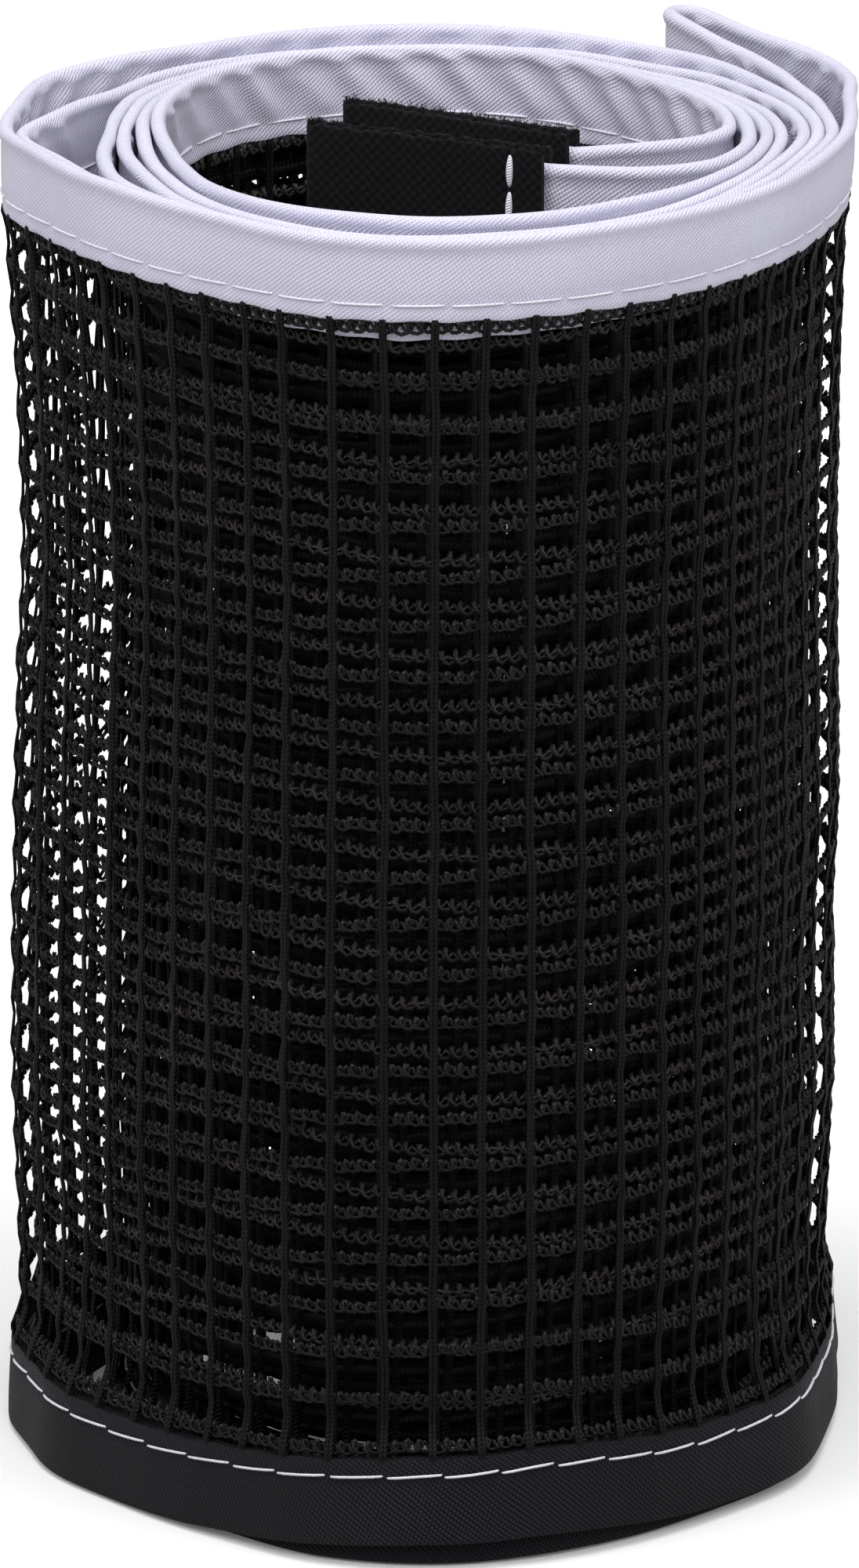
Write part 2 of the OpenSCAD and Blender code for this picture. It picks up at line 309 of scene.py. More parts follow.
def place(along, offset, z):
    """Points in metres: length along the strip, offset to its right, height."""
    along, offset, z = np.broadcast_arrays(
        np.asarray(along, float), np.asarray(offset, float), np.asarray(z, float))
    x, y, nx, ny = strip_at(along)
    turn = turn_at(along)
    up = np.clip(z / HEIGHT, 0, 1)
    high = (z + lift(along) * np.clip(1 - z / HEIGHT, 0, 1) - sink(along) * up ** 2
            + TALL * smooth(z / 9.5) * (1 - smooth((z - 12) / 55)))
    high = high + FOLD_RIM * np.exp(-((along - BIGHT_ALONG) / 9) ** 2) * up ** 4
    out = offset + 0.12 * noise(along + 3 * z, 11, 45) * np.sin(np.pi * up)
    drawn = waist(x, z)
    flare = sum(amount * np.exp(-((turn - middle) / width) ** 2)
                for middle, amount, width in FLARES) * (1 - smooth(z / 30))
    flare_x, flare_y = flare * np.cos(np.radians(turn)), flare * np.sin(np.radians(turn))
    return np.stack([(x * SLIM * drawn + nx * out) + lean(z) + flare_x,
                     y * drawn + ny * out + flare_y, high], -1) * MM


# ---------------------------------------------------------------- meshes
# A part is (points, list of face arrays, map); the map "weave" is in centimetres.
def make_mesh(name, parts):
    points, loops, starts, totals, maps = [], [], [], [], []
    base = 0
    position = 0
    for part_points, face_arrays, part_map in parts:
        points.append(part_points)
        for faces in face_arrays:
            faces = np.asarray(faces, np.int64)
            count, corners = faces.shape
            loops.append(faces.ravel() + base)
            starts.append(position + np.arange(count) * corners)
            totals.append(np.full(count, corners))
            maps.append(part_map[faces.ravel()])
            position += faces.size
        base += len(part_points)
    points, loops, starts, totals, maps = map(
        np.concatenate, (points, loops, starts, totals, maps))
    mesh = bpy.data.meshes.new(name)
    mesh.vertices.add(len(points))
    mesh.vertices.foreach_set("co", points.astype(np.float32).ravel())
    mesh.loops.add(len(loops))
    mesh.loops.foreach_set("vertex_index", loops.astype(np.int32))
    mesh.polygons.add(len(starts))
    mesh.polygons.foreach_set("loop_start", starts.astype(np.int32))
    mesh.polygons.foreach_set("loop_total", totals.astype(np.int32))
    mesh.polygons.foreach_set("use_smooth", totals < 9)
    mesh.update(calc_edges=True)
    # the edges round a large end cap are hard, so that two pieces meet without a line
    caps = np.flatnonzero(totals > 8)
    if len(caps):
        edge_of = np.zeros(len(loops), np.int32)
        mesh.loops.foreach_get("edge_index", edge_of)
        hard = np.zeros(len(mesh.edges), bool)
        for cap in caps:
            hard[edge_of[starts[cap]:starts[cap] + totals[cap]]] = True
        mesh.edges.foreach_set("use_edge_sharp", hard)
    layer = mesh.uv_layers.new(name="weave")
    layer.data.foreach_set("uv", maps.astype(np.float32).ravel())
    mesh.validate()
    piece = bpy.data.objects.new(name, mesh)
    bpy.context.scene.collection.objects.link(piece)
    return piece


def grid_faces(rows, cols):
    """Quads of a grid whose columns close into a ring."""
    row = np.arange(rows - 1)[:, None]
    col = np.arange(cols)[None, :]
    a, b = row * cols + col, row * cols + (col + 1) % cols
    return np.stack([a, b, b + cols, a + cols], -1).reshape(-1, 4)


def ring_solid(points, weave):
    """Part from a grid of rings, closed with a cap at both ends."""
    rows, cols = points.shape[:2]
    caps = [np.arange(cols)[::-1][None], ((rows - 1) * cols + np.arange(cols))[None]]
    return points.reshape(-1, 3), [grid_faces(rows, cols)] + caps, weave.reshape(-1, 2)


def tubes(paths, radius, sides, across, flat=1.0, twist=0.0, mark=0):
    """Tubes along paths (tube, point, xyz) in metres; the radius is in millimetres.

    across is a direction across the tube, flat its thickness along that direction,
    twist turns the section, and mark is added to v of the map.
    """
    paths = np.asarray(paths, float)
    if paths.ndim == 2:
        paths = paths[None]
    count, steps, _ = paths.shape
    tangent = np.gradient(paths, axis=1)
    tangent /= np.maximum(np.linalg.norm(tangent, axis=2, keepdims=True), 1e-12)
    across = np.broadcast_to(np.asarray(across, float), paths.shape)
    wide = np.cross(tangent, across)
    wide /= np.maximum(np.linalg.norm(wide, axis=2, keepdims=True), 1e-12)
    thin = np.cross(wide, tangent)
    radius = np.broadcast_to(np.asarray(radius, float), (count, steps))[:, :, None, None] * MM
    angle = (twist + np.arange(sides) * 2 * np.pi / sides)[None, None, :, None]
    ring = radius * (np.cos(angle) * wide[:, :, None, :]
                     + flat * np.sin(angle) * thin[:, :, None, :])
    points = paths[:, :, None, :] + ring
    tube_start = np.arange(count) * steps * sides
    sidewalls = (grid_faces(steps, sides)[None] + tube_start[:, None, None]).reshape(-1, 4)
    first = np.arange(sides)[::-1][None] + tube_start[:, None]
    last = (steps - 1) * sides + np.arange(sides)[None] + tube_start[:, None]
    segments = np.linalg.norm(np.diff(paths, axis=1), axis=2)
    length = np.concatenate([np.zeros((count, 1)), np.cumsum(segments, axis=1)], 1) / MM / 10
    shape = (count, steps, sides)
    weave = np.stack([np.broadcast_to(length[:, :, None], shape),
                      np.broadcast_to(np.arange(sides) / sides + mark, shape)], -1)
    return points.reshape(-1, 3), [sidewalls, first, last], weave.reshape(-1, 2)


def samples(start, end, step, least=2):
    return np.linspace(start, end, max(least, int(round((end - start) / step)) + 1))


# ---------------------------------------------------------------- netting
ROWS = 24
ROW_PITCH = 5.73
ROW_Z = 10.2 + ROW_PITCH * np.arange(ROWS)
LOOP = 1.52  # length of one stitch in a row
COLUMN = 5.8  # spacing of the upright inlay yarns
COLUMN_BACK = 2.0  # all columns are set back by this
# levels of detail, from the inside of the roll to what shows outside
PLAIN, MIDDLE, FINE = 0, 1, 2
# marks on the map by which the yarn material tells the yarns apart: it gives the inlay a darker
# tone, darkens the plain level deep inside the roll more as painted shade, and brightens the
# shaded rows as painted light
INLAY_MARK, PLAIN_MARK, SHADED_MARK = 10, 20, -20
# (turn, shift in height) of the rows, so that no two layers have them level
OUTER_SHIFT = [(-50, -2.4), (270, -2.4), (450, -2.0), (630, -1.4), (720, -0.8), (780, 0)]
INNER_SHIFT = [(-28, 0.5), (270, 0.5), (450, 1.0), (630, 1.4), (800, 1.7), (860, 2.1),
               (925, 2.1), (965, 3.8), (1045, 3.8), (1064, 2.2), (1090, 0)]


def row_z(i, along, plain=False):
    turn = turn_at(along)
    shift = np.where(along < BIGHT_ALONG, lookup(turn, OUTER_SHIFT), lookup(turn, INNER_SHIFT))
    middle = min(1.0, 2.4 * math.sin(math.pi * i / (ROWS - 1)))  # less at the tapes
    ripple = 0.26 * noise(along, 100 + i, 60) + 0.14 * np.sin(2 * np.pi * along / COLUMN + i)
    return (ROW_Z[i] + (0.4 + 0.6 * middle) * ripple + middle * 0.35 * noise(along, 77, 190)
            + (1.0 if plain else middle) * shift * (1 + 0.25 * noise(along, 78, 210)))


def plain_rows(start, end):
    """Flat bands with the outline of each row."""
    along = samples(start, end, 1.5)
    paths = [place(along, 0.06 * noise(along, 640 + i, 7),
                   row_z(i, along, plain=True) + 0.14 * noise(along, 700 + i, 6))
             for i in range(ROWS)]
    radii = [0.95 + 0.20 * noise(along, 760 + i, 4.5) for i in range(ROWS)]
    # the plain level's mark, by which the yarn material darkens it as painted shade
    return [tubes(paths, radii, 4, normals_at(along), flat=0.34, mark=PLAIN_MARK)]


def loop_phase(i, along):
    return along / LOOP * 2 * np.pi + i * 1.7 + 0.9 * noise(along, 300 + i, 23)


def looped_rows(start, end, level):
    """Rows of chain stitch: a thread that loops, and one that runs back behind it."""
    fine = level == FINE
    # the middle level's mark, by which the yarn material brightens it as painted light
    mark = 0 if fine else SHADED_MARK
    swing, depth, uneven = (0.50, 0.25, 0.08) if fine else (0.36, 0.18, 0)
    along = samples(start, end, LOOP / (8 if fine else 6))
    paths = []
    for i in range(ROWS):
        phase = loop_phase(i, along)
        size = 1 + 0.22 * noise(along, 500 + i, 9)
        z = row_z(i, along) + 0.70 * size * np.cos(phase) + uneven * noise(along, 640 + i, 5)
        swung = np.clip(along - swing * np.sin(phase), start - 0.4, end + 0.4)
        paths.append(place(swung, depth * np.sin(phase + 0.9), z))
    looping = tubes(paths, 0.255 if fine else 0.31, 3, normals_at(along), mark=mark)
    along = samples(start, end, LOOP / (4 if fine else 2))
    paths = []
    for i in range(ROWS):
        phase = loop_phase(i, along)
        z = row_z(i, along) - 0.50 * np.cos(phase + 0.6) - 0.10
        paths.append(place(along, -0.16 + 0.14 * np.sin(phase + 2.5), z))
    return [looping, tubes(paths, 0.25, 3, normals_at(along), twist=0.5, mark=mark)]


def columns(start, end, level):
    """Upright inlay yarns, in pairs except at the plain level."""
    first = int(math.ceil((start + COLUMN_BACK) / COLUMN))
    last = int(math.floor((end + COLUMN_BACK - 1e-6) / COLUMN))
    if last < first:
        return []
    steps, radius, sides, squash = {
        FINE: (72, 0.27, 5, 0.7), MIDDLE: (46, 0.34, 3, 0.7), PLAIN: (24, 0.62, 3, 0.35)}[level]
    z = np.concatenate([[6.5, 8.3, 8.9, 9.6, 10.3], np.linspace(11.6, 140.2, steps),
                        [141.5, 142.2, 142.9, 143.5, 145.5]])
    # each yarn laps over the edge of the tape, then goes in under it
    rise = lookup(z, [(8.3, 0.0), (8.9, 0.44), (9.6, 0.42), (10.3, 0.27),
                      (141.5, 0.27), (142.2, 0.42), (142.9, 0.44), (143.5, 0.0)])
    rise = rise if level == FINE else rise * 0.5
    free = lookup(z, [(8.3, 0.0), (9.3, 1.0), (142.5, 1.0), (143.5, 0.0)])
    over = np.cos(2 * np.pi * (z - ROW_Z[0]) / ROW_PITCH)  # it bends out over each row
    strands = (0,) if level == PLAIN else (-1, 1)
    paths = []
    for k in range(first, last + 1):
        random = np.random.RandomState(9500 + k)
        shift = (random.rand() - 0.5) * 0.7
        tilt = (random.rand() - 0.5) * 0.006
        if level != FINE:
            tilt += 0.03 * noise(k * COLUMN, 88, 290)
        wobble = 0.16 * noise(z, 4500 + k, 40) + tilt * (z - 75)
        winding = 0.5 * noise(z, 2500 + k, 55)
        for strand in strands:
            apart = strand * 0.22 * np.cos(winding) * (0.4 + 0.6 * free)
            out = rise + free * (strand * 0.13 * np.sin(winding) + 0.17 * over)
            paths.append(place(k * COLUMN - COLUMN_BACK + shift + wobble + apart, out, z))
    along = np.repeat(np.arange(first, last + 1) * COLUMN - COLUMN_BACK, len(strands))
    radii = radius * (0.5 + 0.5 * free) * (1 + 0.10 * over)
    # the plain level's mark gives painted shade in the yarn material; the inlay's mark a darker
    # tone
    return [tubes(paths, radii, sides, normals_at(along)[:, None, :], flat=squash,
                  mark=PLAIN_MARK if level == PLAIN else INLAY_MARK)]


def level_of(along):
    turn = float(turn_at(along))
    if along < BIGHT_ALONG:
        return FINE if turn > 775 else (MIDDLE if turn > 690 or turn < 20 else PLAIN)
    return FINE if turn > 1088 else (MIDDLE if turn > 700 or turn < 200 else PLAIN)


def netting(start, end):
    # cut at the whole millimetres where the detail changes
    cuts = [start]
    level = level_of(start + 1e-3)
    for along in np.arange(math.ceil(start), end, 1.0):
        here = level_of(along + 1e-3)
        if here != level:
            cuts.append(float(along))
            level = here
    cuts.append(end)
    parts = []
    for a, b in zip(cuts[:-1], cuts[1:]):
        if b - a < 0.2:
            continue
        level = level_of((a + b) / 2)
        parts += plain_rows(a, b) if level == PLAIN else looped_rows(a, b, level)
        parts += columns(a, b, level)
    return parts


# ---------------------------------------------------------------- tapes
STITCH = 6.58  # stitch length
TOP_EDGE, BOTTOM_EDGE = 142.7, 9.0  # heights where the tapes meet the netting
# (share of the half thickness, distance from the tape's edge) of each face,
# with a groove that holds the stitching
TOP_FACE = [(0.80, 0), (0.98, 0.16), (0.98, 0.9), (0.72, 1.75), (0.72, 2.0), (0.98, 2.9),
            (1, 3.9), (1, 4.9), (1, 5.9), (1, 6.9)]
BOTTOM_FACE = [(0.80, 0), (0.98, 0.16), (0.98, 0.9), (0.72, 1.7), (0.72, 1.95), (0.98, 2.8),
               (1, 3.8), (1, 4.9), (1, 6.0), (1, 7.1)]
HEM_ANGLES = (-38, -5, 28, 58)  # points round the hem, in degrees
GROOVE = 0.72


def half_tape(along):
    return np.minimum(0.52, np.interp(along, STRIP, STRIP_GAP) / 2 - 0.12)


def hem_radius(along):
    return np.minimum(0.84, np.interp(along, STRIP, STRIP_GAP) / 2 - 0.02)


def pucker(along, z, side, seed, start, reach):
    """How far a face of a tape stands out at its puckers, most where it is hollow."""
    hollow = np.interp(along, STRIP, STRIP_BEND) * side * -1.0
    amount = 0.05 + 0.95 * smooth(hollow / 0.02)
    drift = 1.1 * noise(along, seed, 47) + 0.5 * noise(along, seed + 1, 13)
    phase = 2 * np.pi * (along + drift + 0.85 * (z - start)) / STITCH
    size = 0.65 + 0.35 * noise(along, seed + 2, 21)
    ridge = (0.5 + 0.5 * np.cos(phase)) ** 1.3
    fade = np.sin(np.pi * np.clip((z - start) / reach, 0, 1) ** 1.35) ** 0.8
    return amount * size * ridge * fade


def puckered(along, side, offset, puckers, most, slack):
    """Offset with puckers, as far as the next layer leaves room."""
    room = np.interp(along, STRIP, STRIP_ROOM[side]) / 2 - 0.1 - offset
    return offset + np.minimum(puckers, np.clip(room, 0, most) + slack)


def tape(along, right, crown, left, hollow_edge, hollow_end, flipped):
    """A folded tape: two faces that meet at the crown, and a hollow between them."""
    hollow = [(side * (half_tape(along) * 0.45), z + 0 * along)
              for side, z in ((-1, hollow_edge), (-1, hollow_end),
                              (1, hollow_end), (1, hollow_edge))]
    section = right + [crown] + left[::-1] + hollow
    offset = np.stack([point[0] for point in section], 1)
    z = np.stack([point[1] for point in section], 1)
    steps = np.sqrt(np.diff(offset, axis=1) ** 2 + np.diff(z, axis=1) ** 2)
    across = np.concatenate([np.zeros((len(along), 1)), np.cumsum(steps, 1)], 1)
    weave = np.stack([np.broadcast_to(along[:, None], z.shape), across], -1) / 10
    points, faces, weave = ring_solid(place(along[:, None], offset, z), weave)
    if flipped:
        faces = [face[:, ::-1] for face in faces]
    return [(points, faces, weave)]


def top_tape(start, end):
    along = samples(start, end, 0.75)
    radius = hem_radius(along) * (1 + 0.03 * noise(along, 21, 17))
    loose = np.clip((np.interp(along, STRIP, STRIP_GAP) - 1.6) / 1.0, 0, 1)
    sway = 0.10 * noise(along, 22, 38) * loose
    top = HEIGHT + 0.12 * noise(along, 23, 52) - 0.1
    edge = TOP_EDGE + 0.10 * np.cos(2 * np.pi * along / STITCH) + 0.12 * noise(along, 24, 80)
    half = half_tape(along)
    rows = [(share * half, edge + rise) for share, rise in TOP_FACE]
    rows.append((0.86 * half, top - 2.1 * radius))
    for angle in map(math.radians, HEM_ANGLES):
        rows.append((np.maximum(radius * math.cos(angle), 0.3),
                     top - radius + radius * math.sin(angle)))

    def face(side):
        points = []
        for k, (offset, z) in enumerate(rows):
            if 2 <= k <= 11:
                puckers = pucker(along, z, side, 40 + side, edge + 0.6, 9.6)
                offset = puckered(along, side, offset, puckers, most=0.6, slack=0.14)
            points.append((side * offset + sway * np.clip((z - 146) / 6, 0, 1), z))
        return points

    return tape(along, face(1), (sway, top), face(-1),
                hollow_edge=143.6, hollow_end=150.2, flipped=True)


def bottom_tape(start, end):
    along = samples(start, end, 1.0)
    edge = BOTTOM_EDGE + 0.08 * np.cos(2 * np.pi * along / STITCH) + 0.12 * noise(along, 61, 80)
    foot = 0.10 * (0.5 + 0.5 * noise(along, 62, 60))
    half = half_tape(along)
    rows = [(share * half, edge - drop) for share, drop in BOTTOM_FACE]
    rows += [(share * half, foot + rise) for share, rise in
             ((0.97, 0.75), (0.85, 0.35), (0.5, 0.08))]

    def face(side):
        points = []
        for k, (offset, z) in enumerate(rows):
            if 2 <= k <= 9:
                puckers = 0.7 * pucker(along, 9.6 - z, side, 140 + side, 0.6, 8.6)
                offset = puckered(along, side, offset, puckers, most=0.4, slack=0.1)
            points.append((side * offset, z))
        return points

    return tape(along, face(1), (0 * along, foot), face(-1),
                hollow_edge=8.2, hollow_end=1.0, flipped=False)


def cord(start, end, strands=3, lay=5.0, off_center=0.2):
    """Tension cord: twisted strands inside the hem."""
    along = samples(start, end, 1.6, least=4)
    middle = HEIGHT - 0.1 - hem_radius(along)
    parts = []
    for strand in range(strands):
        angle = 2 * np.pi * (along / lay + strand / strands)
        path = place(along, off_center * np.cos(angle), middle + off_center * np.sin(angle))
        parts.append(tubes(path, 0.2, 4, [0, 0, 1]))
    return parts


def stitches(start, end, height, fill, slant, seed, wave_seed):
    """A row of lockstitch on both faces; fill is half a thread's share of the stitch."""
    t = np.array([-1, -0.9, -0.6, 0, 0.6, 0.9, 1.0])
    dip = np.array([0.30, 0.08, 0, 0, 0, 0.08, 0.30])
    thickness = np.array([0.45, 0.88, 1, 1, 1, 0.88, 0.45])
    bow = 0.05 * (1 - t * t)
    first, last = int(math.ceil(start / STITCH)), int(math.floor((end - 1e-6) / STITCH))
    parts = []
    for side in (1, -1):
        paths = []
        for k in range(first, last + 1):
            random = np.random.RandomState(seed + 7 * (k + 40) + side)
            longer, shift, steeper = random.rand(3) - 0.5
            middle = k * STITCH + 0.25 * shift + (0 if side > 0 else STITCH / 2)
            along = middle + (STITCH * fill + 0.10 * longer) * t
            z = height + slant * (0.7 + 0.6 * steeper) * t + 0.12 * noise(along, wave_seed, 80)
            out = side * (GROOVE * half_tape(along) + 0.10 + bow - dip)
            paths.append(place(along, out, z))
        if paths:
            parts.append(tubes(paths, 0.17 * thickness, 5, [0, 0, 1]))
    return parts


# ---------------------------------------------------------------- sleeves
SLEEVE_WIDTH = 29.7
SLEEVE_FOOT, SLEEVE_TOP = 1.5, HEIGHT + 1.5
SLEEVE_TALL = SLEEVE_TOP - SLEEVE_FOOT
SLEEVE_TAPE_HALF = 0.38  # half thickness of its tape
SEAM_X = 4.2  # distance of the seam from the strip's end
SEAM_PITCH = 4.2
SEAM_HALF = 2.0  # half length of a seam stitch


def sleeve_points(root, ahead, x, y, z):
    """Points in metres: distance x from the strip's end, y to the left of that, height."""
    return np.stack([root[0] * SLIM + ahead[0] * x - ahead[1] * y + lean(z),
                     root[1] + ahead[1] * x + ahead[0] * y, z], -1) * MM


def sleeve_bulge(x, z, seed):
    return 0.30 * noise(z, seed + 3, 90) * np.sin(np.pi * np.clip(x / SLEEVE_WIDTH, 0, 1))


def sleeve_line(seed):
    """Plan of the loop: out along one side, round the tip, and back."""
    x = np.concatenate([np.linspace(0.3, 7, 16), np.linspace(7.5, SLEEVE_WIDTH - 1.5, 44)])
    half = 1.16 - 0.28 * smooth((x - 6) / 4) - 0.10 * np.exp(-((x - SEAM_X) / 1.0) ** 2)
    out = np.stack([x, half], 1)
    angle = np.radians(np.linspace(80, -80, 13))
    tip = np.stack([SLEEVE_WIDTH - 1.4 + 0.95 * np.cos(angle), 0.88 * np.sin(angle)], 1)
    line = np.concatenate([out, tip, out[::-1] * [1, -1]])
    line[:, 1] += 0.22 * noise(line[:, 0], seed, 40)
    return line


def sleeve(name, root, ahead, seed):
    """A flat loop of thick woven tape, with fibres frayed from its upper edge."""
    line = sleeve_line(seed)
    normal = -right_of(np.gradient(line, axis=0))
    normal /= np.linalg.norm(normal, axis=1)[:, None]
    steps = np.linalg.norm(np.diff(line, axis=0), axis=1)
    along = np.concatenate([[0], np.cumsum(steps)])
    # section of the tape: a rounded slab from bottom to top and back down
    rise = np.concatenate([[0.02, 0.10], 0.35 + (SLEEVE_TALL - 0.7) * np.linspace(0, 1, 76),
                           [SLEEVE_TALL - 0.10, SLEEVE_TALL - 0.02]])
    out = np.concatenate([[0.55, 0.9], np.ones(76), [0.9, 0.55]]) * SLEEVE_TAPE_HALF
    rise = np.concatenate([rise, rise[::-1]])
    out = np.concatenate([out, -out[::-1]])
    ragged = 0.18 * noise(along, seed + 9, 3.1) + 0.10 * noise(along, seed + 8, 1.3)
    z = SLEEVE_FOOT + rise[None, :] + ragged[:, None] * (rise[None, :] > 140)
    x = line[:, :1] + normal[:, :1] * out
    y = line[:, 1:] + normal[:, 1:] * out + sleeve_bulge(line[:, :1], z, seed)
    weave = np.stack([np.broadcast_to(along[:, None], z.shape), z], -1) / 10
    body = ring_solid(sleeve_points(root, ahead, x, y, z), weave)

    fibres = 520
    random = np.random.RandomState(seed)
    spot = random.randint(0, len(line), fibres)
    foot_x = line[spot, 0] + normal[spot, 0] * (random.rand(fibres) - 0.5) * 0.7
    foot_y = line[spot, 1] + normal[spot, 1] * (random.rand(fibres) - 0.5) * 0.7
    t = np.linspace(0, 1, 4)[None]
    length = 0.25 + 0.75 * random.rand(fibres) ** 2
    bend_x = (random.rand(fibres) - 0.5) * 0.7
    bend_y = (random.rand(fibres) - 0.5) * 0.5
    paths = sleeve_points(root, ahead, foot_x[:, None] + bend_x[:, None] * t ** 2,
                          foot_y[:, None] + bend_y[:, None] * t ** 2,
                          SLEEVE_TOP - 0.25 + length[:, None] * t * 0.9)
    return make_mesh(name, [body, tubes(paths, 0.045, 3, [1, 0.3, 0])])


def sleeve_seam(name, root, ahead, seed, first):
    """Upright rows of stitches on both sides of a sleeve."""
    t = np.linspace(-1, 1, 9)
    thickness = np.array([0.35, 0.7, 0.95, 1.1, 1.15, 1.1, 0.95, 0.7, 0.35])
    # half the loop, half its tape and the thread's own stand
    out = 1.06 + SLEEVE_TAPE_HALF + 0.10 - 0.25 * np.abs(t) ** 4
    paths = []
    for side in (1, -1):
        for k in range(first, 36):
            z = SLEEVE_TOP - 2.6 - k * SEAM_PITCH + SEAM_HALF * t
            z = z - (0 if side > 0 else SEAM_PITCH / 2)
            if z.min() < SLEEVE_FOOT + 0.6:
                continue
            shift, tilt = np.random.RandomState(seed + k + 50 * side + 60).rand(2) - 0.5
            x = SEAM_X + 0.2 * shift + 0.12 * tilt * t
            y = side * out + 0.22 * noise(SEAM_X, seed, 40) + sleeve_bulge(SEAM_X, z, seed)
            paths.append(sleeve_points(root, ahead, x, y, z))
    across = [-ahead[1], ahead[0], 0]
    return make_mesh(name, [tubes(paths, 0.36 * thickness, 7, across, flat=0.6)])


# ---------------------------------------------------------------- materials
class Shader:
    """A material and short ways to add the nodes used here."""

    def __init__(self, name):
        self.material = bpy.data.materials.new(name)
        self.material.use_nodes = True
        self.tree = self.material.node_tree
        self.surface = self.tree.nodes["Principled BSDF"].inputs

    def node(self, kind):
        return self.tree.nodes.new("ShaderNode" + kind)

    def connect(self, value, socket):
        if isinstance(value, (int, float)):
            socket.default_value = value
        else:
            self.tree.links.new(value, socket)

    def math(self, operation, *values):
        node = self.node("Math")
        node.operation = operation
        for value, socket in zip(values, node.inputs):
            self.connect(value, socket)
        return node.outputs[0]

    def scaled(self, value, factor, plus):
        return self.math("ADD", self.math("MULTIPLY", value, factor), plus)

    def weighed(self, first, first_weight, second, second_weight):
        return self.math("ADD", self.math("MULTIPLY", first, first_weight),
                         self.math("MULTIPLY", second, second_weight))

    def sine(self, value, period):
        return self.math("SINE", self.math("MULTIPLY", value, 2 * math.pi / period))

    def noise(self, vector, scale, detail):
        node = self.node("TexNoise")
        node.inputs["Scale"].default_value = scale
        node.inputs["Detail"].default_value = detail
        node.inputs["Roughness"].default_value = 0.55
        self.connect(vector, node.inputs["Vector"])
        return node.outputs["Fac"]

    def ramp(self, value, *stops):
        node = self.node("ValToRGB")
        for element, (position, color) in zip(node.color_ramp.elements, stops):
            element.position = position
            element.color = (*color, 1)
        self.connect(value, node.inputs[0])
        return node.outputs[0]

    def object_coords(self):
        return self.node("TexCoord").outputs["Object"]

    def weave_map(self):
        """u and v in millimetres, and the map itself."""
        node = self.node("UVMap")
        node.uv_map = "weave"
        split = self.node("SeparateXYZ")
        self.connect(node.outputs[0], split.inputs[0])
        u, v = (self.math("MULTIPLY", split.outputs[k], 10.0) for k in (0, 1))
        return u, v, node.outputs[0]

    def cloth(self, color, height, depth, roughness, sheen, sheen_roughness, specular,
              sheen_tint=(1, 1, 1)):
        """Set the surface; depth is the relief of height in metres."""
        self.connect(color, self.surface["Base Color"])
        bump = self.node("Bump")
        bump.inputs["Distance"].default_value = depth
        bump.inputs["Strength"].default_value = 1.0
        self.connect(height, bump.inputs["Height"])
        self.connect(bump.outputs[0], self.surface["Normal"])
        self.connect(roughness, self.surface["Roughness"])
        self.surface["Sheen Weight"].default_value = sheen
        self.surface["Sheen Roughness"].default_value = sheen_roughness
        self.surface["Sheen Tint"].default_value = (*sheen_tint, 1)
        self.surface["Specular IOR Level"].default_value = specular
        return self.material


def twill(name, dark, light, roughness, sheen, pitch, depth, specular, sheen_tint=(1, 1, 1)):
    """Fine diagonal twill: ribs one way, threads across them the other."""
    shader = Shader(name)
    u, v, weave = shader.weave_map()
    # uneven run of the ribs
    centered = shader.math("SUBTRACT", shader.noise(weave, scale=1.4, detail=2), 0.5)
    warp = shader.math("MULTIPLY", centered, 0.5)
    # the slopes of the ribs and of the short floats that run across them
    climb = shader.math("SUBTRACT", shader.math("MULTIPLY", v, 0.80),
                        shader.math("MULTIPLY", u, 0.60))
    diagonal = shader.math("ADD", climb, shader.math("MULTIPLY", warp, 0.6))
    crosswise = shader.weighed(u, 0.9, v, 0.35)
    ribs = shader.sine(diagonal, pitch)
    floats = shader.sine(crosswise, pitch * 0.9)
    height = shader.weighed(ribs, 0.52, floats, 0.34)
    # the colour follows the relief, darker in the valleys of the ribs as painted shade, and
    # broad patches of tone
    relief = shader.scaled(height, factor=0.42, plus=0.5)
    patch = shader.noise(weave, scale=0.35, detail=4)
    shade = shader.weighed(relief, 0.62, patch, 0.38)
    return shader.cloth(
        color=shader.ramp(shade, (0.18, dark), (0.82, light)), height=height, depth=depth,
        roughness=shader.scaled(patch, factor=0.18, plus=roughness - 0.09),
        sheen=sheen, sheen_roughness=0.4, specular=specular, sheen_tint=sheen_tint)


